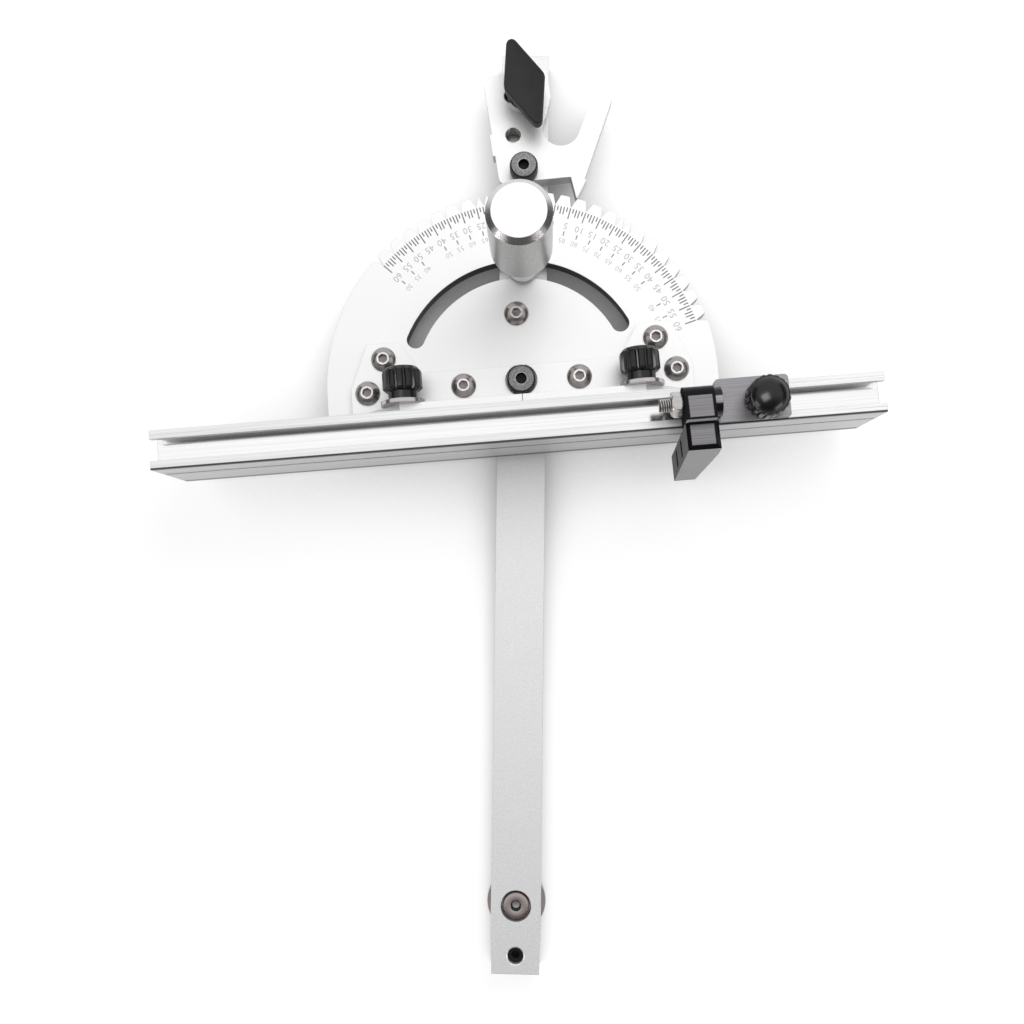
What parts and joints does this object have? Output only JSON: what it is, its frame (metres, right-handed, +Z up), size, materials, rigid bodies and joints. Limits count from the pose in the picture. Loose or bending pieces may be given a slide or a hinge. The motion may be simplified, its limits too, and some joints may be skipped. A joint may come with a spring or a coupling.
{
  "type": "miter gauge",
  "caption": "Table saw miter gauge: slot bar, half-round protractor head with index lever and clamp knobs, T-slot fence and flip stop.",
  "frame": {"origin": "on the head's pivot axis, at the underside of the slot bar", "axes": "+Y along the bar, from the pivot towards the index lever; +Z up, away from the saw table; +X across the bar. The head and the fence are stored turned 5 degrees about +Z."},
  "size_m": [0.2643, 0.362, 0.0755],
  "materials": {
    "bar_metal": "anodised, fine sandblasted grain",
    "plate_metal": "bright satin anodised",
    "fence_metal": "extruded, brushed along its length",
    "knob_metal": "turned, finely brushed",
    "stainless": "plain stainless steel",
    "plated_steel": "zinc plated",
    "black_oxide": "black oxide steel",
    "black_plastic": "moulded, semi gloss",
    "matte_plastic": "moulded, matte",
    "black_anodised": "black anodised aluminium, brushed",
    "brass": "machined"
  },
  "bodies": {
    "bar": {"miter_bar": "bar_metal", "retaining_disc": "plated_steel", "disc_screw": "stainless", "bar_set_screw": "black_oxide", "pivot_screw": "black_oxide", "clamp_stud": "plated_steel", "clamp_washer": "plated_steel", "lever_pivot_screw": "black_oxide", "lever_stud": "plated_steel", "lever_washer": "plated_steel"},
    "head": {"head_plate": "plate_metal", "bracket_left": "plate_metal", "bracket_right": "plate_metal", "bracket_screws_left": "stainless", "bracket_screws_right": "stainless", "centre_screw": "stainless", "fence_bolt_left": "plated_steel", "fence_bolt_right": "plated_steel", "fence_washer_left": "plated_steel", "fence_washer_right": "plated_steel"},
    "clamp_knob": {"clamp_knob": "knob_metal"},
    "index_lever": {"index_lever": "plate_metal"},
    "wing_knob": {"wing_knob": "matte_plastic", "wing_insert": "brass"},
    "fence": {"fence": "fence_metal"},
    "fence_knob_left": {"fence_knob_left": "black_plastic", "fence_knob_insert_left": "brass"},
    "fence_knob_right": {"fence_knob_right": "black_plastic", "fence_knob_insert_right": "brass"},
    "stop_carrier": {"stop_carrier": "black_anodised", "stop_slot_nut": "plated_steel", "stop_stud": "plated_steel", "stop_pivot_bolt": "stainless", "stop_pivot_nut": "stainless"},
    "stop_arm": {"stop_arm": "black_anodised"},
    "stop_knob": {"stop_knob": "black_plastic", "stop_knob_insert": "brass"}
  },
  "joints": [
    {"name": "head_swing", "type": "hinge", "parent": "bar", "child": "head", "pos_m": [0, 0, 0.0126], "axis": [0, 0, 1], "range_deg": [-65, 55]},
    {"name": "clamp_turn", "type": "hinge", "parent": "bar", "child": "clamp_knob", "pos_m": [0, 0.045, 0.03], "axis": [0, 0, 1], "continuous": true},
    {"name": "lever_swing", "type": "hinge", "parent": "bar", "child": "index_lever", "pos_m": [0, 0.085, 0.0126], "axis": [0, 0, 1], "range_deg": [-9.5, 7.5]},
    {"name": "wing_turn", "type": "hinge", "parent": "bar", "child": "wing_knob", "pos_m": [0, 0.1165, 0.02], "axis": [0, 0, 1], "continuous": true},
    {"name": "fence_slide", "type": "slide", "parent": "head", "child": "fence", "axis": [0.9962, 0.0872, 0], "range_m": [-0.07, 0.07]},
    {"name": "fence_knob_left_turn", "type": "hinge", "parent": "head", "child": "fence_knob_left", "pos_m": [-0.04483, -0.00392, 0.0285], "axis": [-0.0872, 0.9962, 0], "continuous": true},
    {"name": "fence_knob_right_turn", "type": "hinge", "parent": "head", "child": "fence_knob_right", "pos_m": [0.04483, 0.00392, 0.0285], "axis": [-0.0872, 0.9962, 0], "continuous": true},
    {"name": "stop_slide", "type": "slide", "parent": "fence", "child": "stop_carrier", "axis": [0.9962, 0.0872, 0], "range_m": [-0.2, 0.035]},
    {"name": "stop_flip", "type": "hinge", "parent": "stop_carrier", "child": "stop_arm", "pos_m": [0.06159, -0.01554, 0.0527], "axis": [-0.9962, -0.0872, 0], "range_deg": [-8, 95]},
    {"name": "stop_knob_turn", "type": "hinge", "parent": "stop_carrier", "child": "stop_knob", "pos_m": [0.08649, -0.01336, 0.0515], "axis": [0, 0, 1], "continuous": true}
  ]
}
